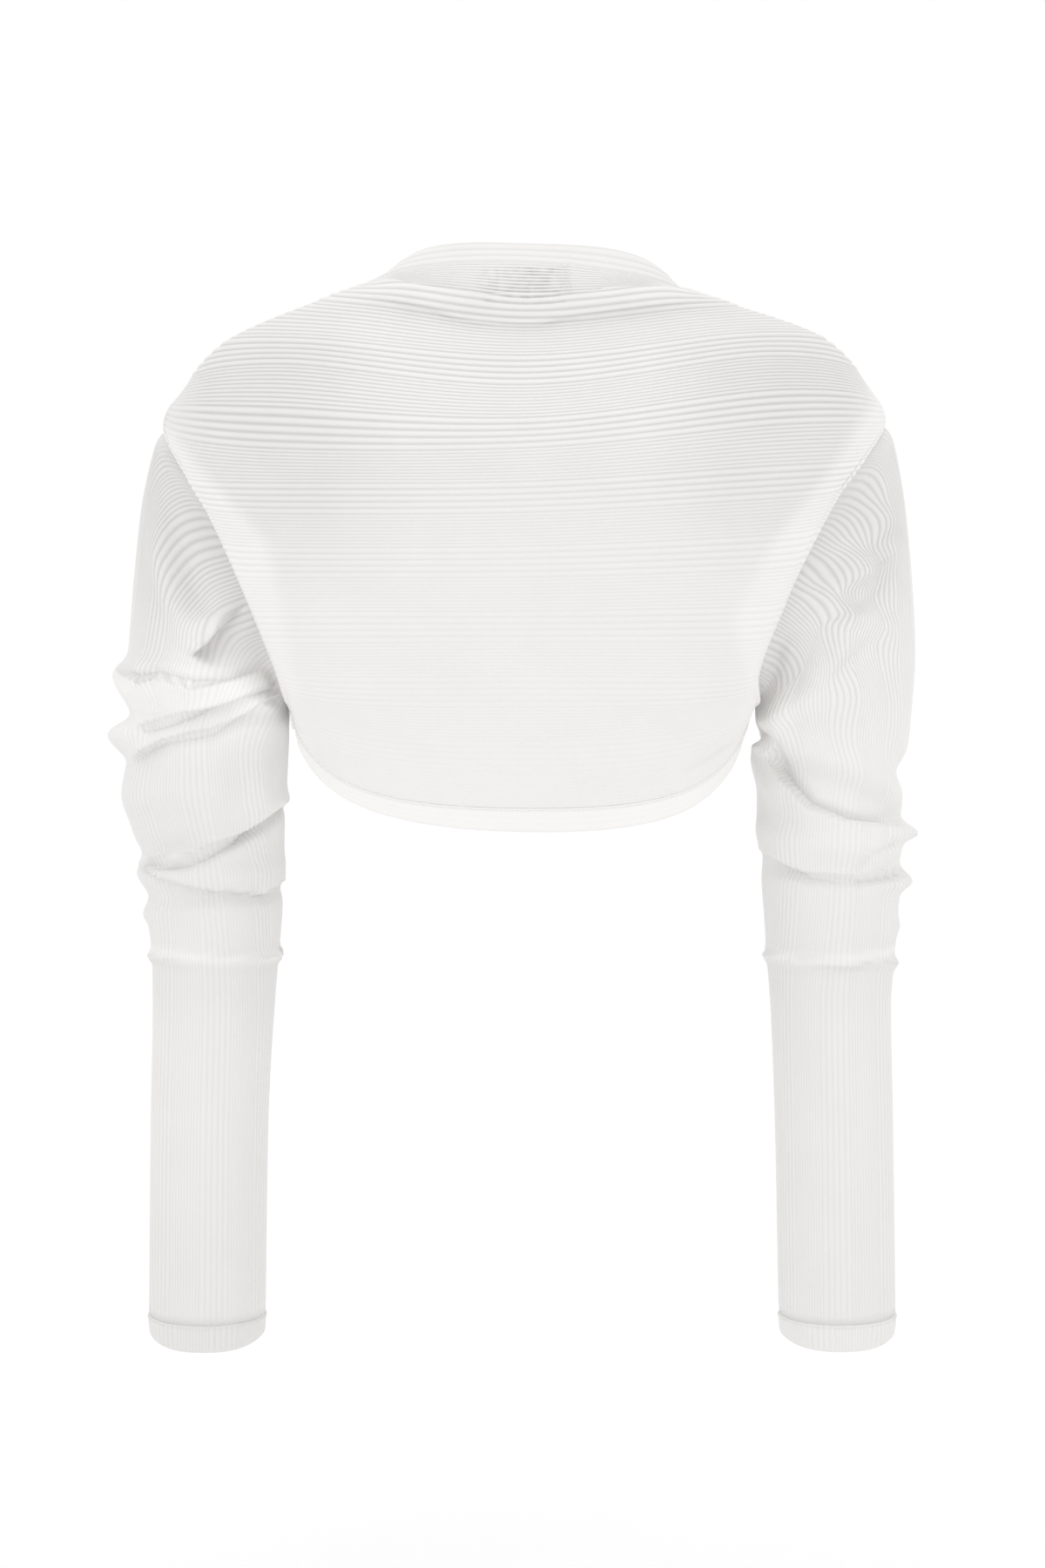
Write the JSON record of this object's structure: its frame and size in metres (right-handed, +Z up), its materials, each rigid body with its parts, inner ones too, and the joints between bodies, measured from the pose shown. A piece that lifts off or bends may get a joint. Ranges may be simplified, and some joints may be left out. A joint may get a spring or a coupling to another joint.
{
  "type": "knitted shrug",
  "caption": "Cropped open-front shrug in rib knit with long sleeves pushed up on the arms, filled out as worn; ribs run across the back and down the sleeves, with hemmed edges.",
  "frame": {"origin": "on the line of the shoulders, midway between them, at the height of the fold at the foot of the back neck", "axes": "+Z up along the hanging sleeves, +Y the wearer's front, so the back faces -Y, +X the wearer's right"},
  "size_m": [0.4912, 0.1788, 0.6673],
  "materials": {
    "knit": "matt off-white rib knit with a soft nap",
    "hem": "matt off-white turned knit hem",
    "label": "bare dark woven label, nothing on it"
  },
  "bodies": {
    "root": {"back": "knit", "neck_band": "hem", "hem_band": "hem", "left_front": "knit", "left_front_band": "hem", "left_sleeve": "knit", "left_cuff": "hem", "right_front": "knit", "right_front_band": "hem", "right_sleeve": "knit", "right_cuff": "hem", "label": "label"}
  },
  "joints": []
}
